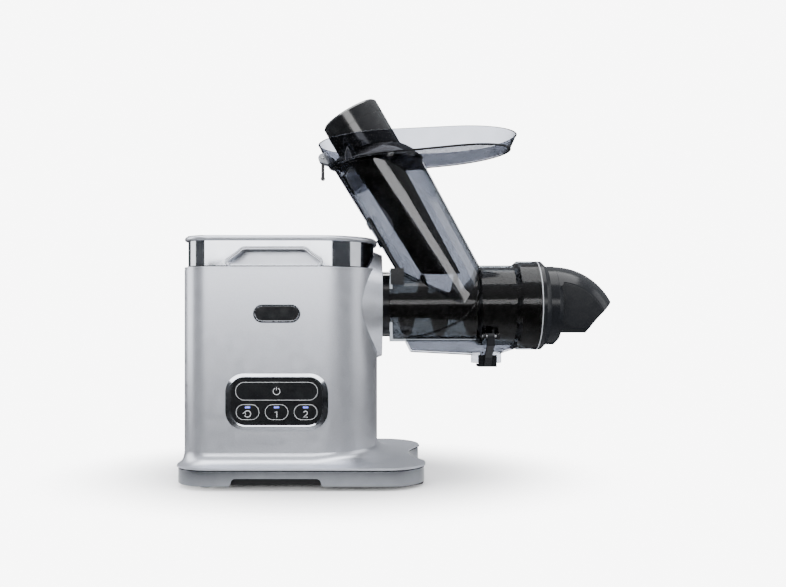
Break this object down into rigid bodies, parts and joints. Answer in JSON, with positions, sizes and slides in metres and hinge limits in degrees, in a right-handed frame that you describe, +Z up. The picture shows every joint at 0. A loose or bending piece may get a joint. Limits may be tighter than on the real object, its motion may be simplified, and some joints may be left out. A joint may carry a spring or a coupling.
{
  "type": "cold press juicer",
  "caption": "Horizontal cold press juicer: motor housing on a broad base, bayonet chamber with auger and strainer, slanted feed tube with tray, lid and pusher, hooked pulp spout.",
  "frame": {"origin": "middle of the footprint box on the table", "axes": "+X towards the pulp spout, -Y towards the buttons on the front, +Z up"},
  "size_m": [0.4174, 0.19, 0.3723],
  "materials": {
    "silver_paint": "silver metallic paint on moulded ABS, satin",
    "clear_grey": "lightly tinted clear, polished",
    "bright_chrome": "bright plated trim",
    "black_gloss": "piano black, polished",
    "black_satin": "black moulded, fine grain",
    "smoke_clear": "smoke tinted clear, polished",
    "blue_lens": "light window",
    "black_rubber": "soft black rubber",
    "grey_silicone": "soft silicone",
    "steel": "turned and ground steel",
    "zinc_steel": "zinc plated pressed steel",
    "nylon": "natural gear plastic",
    "case_grey": "glass filled grey plastic",
    "board_green": "coated circuit board",
    "copper_wire": "enamelled copper wire",
    "ferrite": "sintered magnet"
  },
  "bodies": {
    "housing": {"base_plate": "black_satin", "rubber_feet": "black_rubber", "skirt_band": "bright_chrome", "base_cover": "silver_paint", "case_screws": "steel", "body_shell": "silver_paint", "cord_inlet": "black_rubber", "top_band": "bright_chrome", "storage_tray": "silver_paint", "grip_frames": "bright_chrome", "panel_bezel": "bright_chrome", "control_panel": "black_gloss", "button_board": "board_green", "badge_rim": "bright_chrome", "badge_plate": "black_gloss", "drive_boss": "silver_paint", "bayonet_ring": "black_satin", "interlock_switch": "black_satin", "gearbox_case": "case_grey", "gearbox_cover": "case_grey", "idler_pin": "steel", "output_bearings": "steel", "shaft_seal": "black_rubber", "motor_can": "zinc_steel", "motor_magnets": "ferrite", "motor_end_bell": "black_satin", "motor_bearings": "steel", "motor_cradle": "black_satin", "power_board": "board_green"},
    "latch": {"chamber_latch": "black_satin"},
    "power_key": {"power_button": "black_gloss"},
    "reverse_key": {"reverse_button": "black_gloss", "reverse_light": "blue_lens"},
    "speed_1_key": {"speed_1_button": "black_gloss", "speed_1_light": "blue_lens"},
    "speed_2_key": {"speed_2_button": "black_gloss", "speed_2_light": "blue_lens"},
    "rotor": {"motor_rotor": "steel", "rotor_windings": "copper_wire", "cooling_fan": "black_satin"},
    "idler": {"idler_gear": "nylon"},
    "screw": {"output_gear": "nylon", "drive_shaft": "steel", "auger": "black_satin"},
    "chamber": {"chamber_barrel": "smoke_clear", "feed_tube": "clear_grey", "juice_trough": "smoke_clear", "strainer": "black_satin", "interlock_rod": "black_satin", "interlock_housing": "black_satin", "drip_pin": "steel"},
    "drip_stop": {"drip_stop_lever": "black_gloss", "drip_seal": "grey_silicone"},
    "spout": {"end_cap": "black_gloss"},
    "hopper": {"food_tray": "clear_grey", "chute_lid": "smoke_clear", "lid_hinge_pin": "steel"},
    "lever": {"interlock_lever": "black_satin"},
    "pusher": {"pusher_cap": "black_gloss", "pusher_body": "black_satin"}
  },
  "joints": [
    {"name": "auger_spin", "type": "hinge", "parent": "housing", "child": "screw", "pos_m": [0, 0, 0.167], "axis": [1, 0, 0], "continuous": true},
    {"name": "idler_spin", "type": "hinge", "parent": "housing", "child": "idler", "pos_m": [0, 0.01578, 0.13092], "axis": [1, 0, 0], "continuous": true},
    {"name": "motor_spin", "type": "hinge", "parent": "housing", "child": "rotor", "pos_m": [0, 0, 0.092], "axis": [1, 0, 0], "continuous": true},
    {"name": "chamber_turn", "type": "hinge", "parent": "housing", "child": "chamber", "pos_m": [0, 0, 0.167], "axis": [1, 0, 0], "range_deg": [0, 30]},
    {"name": "cap_turn", "type": "hinge", "parent": "chamber", "child": "spout", "pos_m": [0.135, 0, 0.167], "axis": [1, 0, 0], "range_deg": [0, 30]},
    {"name": "drip_swing", "type": "hinge", "parent": "chamber", "child": "drip_stop", "pos_m": [0.08625, -0.037, 0.1375], "axis": [-1, 0, 0], "range_deg": [0, 90]},
    {"name": "hopper_lift", "type": "slide", "parent": "chamber", "child": "hopper", "axis": [-0.5, 0, 0.866], "range_m": [0, 0.04]},
    {"name": "pusher_slide", "type": "slide", "parent": "hopper", "child": "pusher", "axis": [-0.5, 0, 0.866], "range_m": [0, 0.15]},
    {"name": "lever_swing", "type": "hinge", "parent": "hopper", "child": "lever", "pos_m": [-0.07655, -0.006, 0.3129], "axis": [0, 1, 0], "range_deg": [-20, 30]},
    {"name": "latch_press", "type": "slide", "parent": "housing", "child": "latch", "axis": [-1, 0, 0], "range_m": [0, 0.003], "stiffness_N_per_m": 300},
    {"name": "power_press", "type": "slide", "parent": "housing", "child": "power_key", "axis": [0, 1, 0], "range_m": [0, 0.0012], "stiffness_N_per_m": 300},
    {"name": "reverse_press", "type": "slide", "parent": "housing", "child": "reverse_key", "axis": [0, 1, 0], "range_m": [0, 0.0012], "stiffness_N_per_m": 300},
    {"name": "speed_1_press", "type": "slide", "parent": "housing", "child": "speed_1_key", "axis": [0, 1, 0], "range_m": [0, 0.0012], "stiffness_N_per_m": 300},
    {"name": "speed_2_press", "type": "slide", "parent": "housing", "child": "speed_2_key", "axis": [0, 1, 0], "range_m": [0, 0.0012], "stiffness_N_per_m": 300}
  ],
  "couplings": [
    {"joint": "idler_spin", "follows": "auger_spin", "ratio": -3.5},
    {"joint": "motor_spin", "follows": "auger_spin", "ratio": 17.5}
  ]
}
